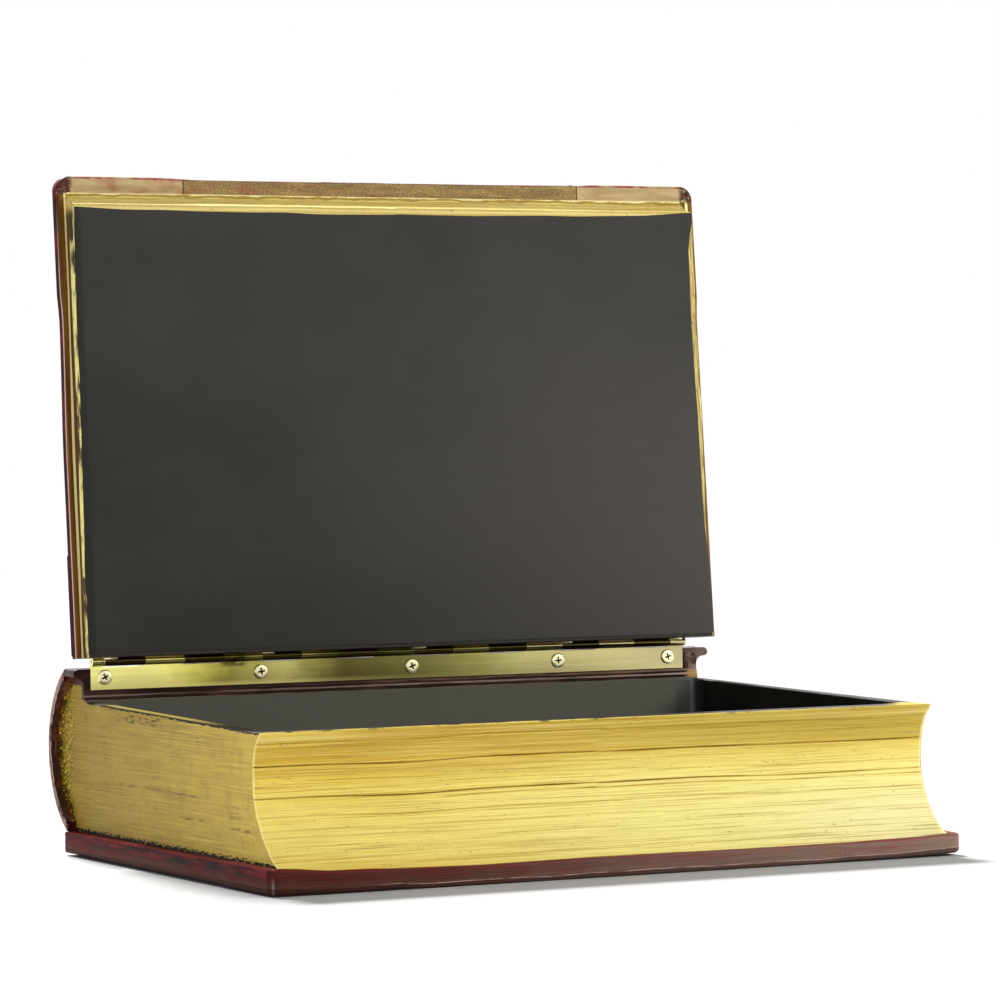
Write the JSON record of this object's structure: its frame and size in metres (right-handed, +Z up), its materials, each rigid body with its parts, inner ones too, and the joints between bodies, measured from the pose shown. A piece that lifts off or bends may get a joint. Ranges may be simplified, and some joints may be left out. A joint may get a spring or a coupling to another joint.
{
  "type": "book box",
  "caption": "Hinged wooden box shaped like an old half-leather book, with gilt page edges, a rounded spine, a dark inside and a brass piano hinge.",
  "frame": {"origin": "centre of the lower board's outline, on the plane that the box stands on", "axes": "+X along the spine to the right as the fore-edge is faced, +Y from the fore-edge to the spine, +Z up"},
  "size_m": [0.275, 0.2228, 0.257],
  "materials": {
    "felt": "dark brown wool felt",
    "burgundy_board": "board covered in waxed marbled burgundy leather",
    "patch_leather": "waxed smooth brown-red leather",
    "gilt_pages": "page edges cut in gesso on wood, rubbed gilt paint",
    "dark_wood": "satin dark burgundy paint",
    "black_paint": "satin black paint",
    "lining_board": "brushed matt warm black paint on card",
    "brass": "polished brass with dark tarnish spots",
    "screw_brass": "pale brass plated screws",
    "pin_steel": "drawn steel wire"
  },
  "bodies": {
    "box": {"base_felt": "felt", "base_board": "burgundy_board", "base_corner_left": "patch_leather", "base_corner_right": "patch_leather", "front_wall": "gilt_pages", "left_wall": "gilt_pages", "right_wall": "gilt_pages", "hinge_wall": "dark_wood", "cavity_floor": "black_paint", "corner_coves": "black_paint", "spine_core": "gilt_pages", "spine_shell": "burgundy_board", "spine_bands": "patch_leather", "joint_strip": "dark_wood", "body_leaf": "brass", "hinge_pin": "pin_steel", "body_screws": "screw_brass"},
    "lid": {"lid_board": "burgundy_board", "lid_corner_left": "patch_leather", "lid_corner_right": "patch_leather", "lid_spine_leather": "patch_leather", "lid_page_layer": "gilt_pages", "lid_lining": "lining_board", "lid_leaf": "brass", "lid_screws": "screw_brass"}
  },
  "joints": [
    {"name": "lid_hinge", "type": "hinge", "parent": "box", "child": "lid", "pos_m": [0, 0.0884, 0.0735], "axis": [-1, 0, 0], "range_deg": [-94.7, 104.8]}
  ]
}
